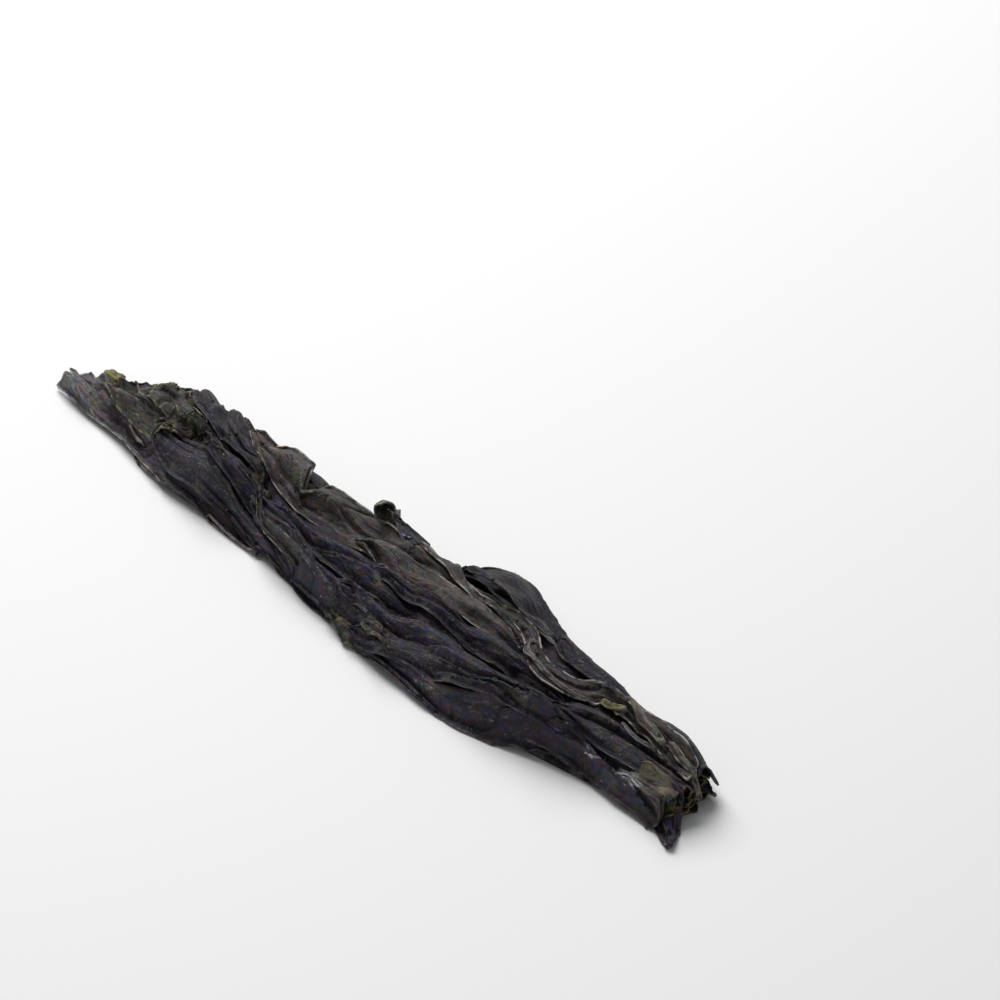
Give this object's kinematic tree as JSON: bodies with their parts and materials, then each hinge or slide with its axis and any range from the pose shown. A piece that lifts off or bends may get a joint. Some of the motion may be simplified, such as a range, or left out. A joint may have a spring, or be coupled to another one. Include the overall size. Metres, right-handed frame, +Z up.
{
  "type": "dried wakame",
  "caption": "Cut length of dried wakame seaweed: dark wavy fronds folded lengthwise into a flat-bottomed bundle, torn to a ragged tip at one end and cut across at the other",
  "frame": {"origin": "middle of the bundle's footprint, on the surface it lies on", "axes": "+X along the bundle to its cut end, -X to its torn tip, +Y across it to the higher, steeper side, +Z up"},
  "size_m": [0.1528, 0.031, 0.0119],
  "materials": {
    "wakame": "dry, matte to faintly satin, blue-black with olive patches and a pale bloom of salt"
  },
  "bodies": {
    "root": {"wakame": "wakame"}
  },
  "joints": []
}
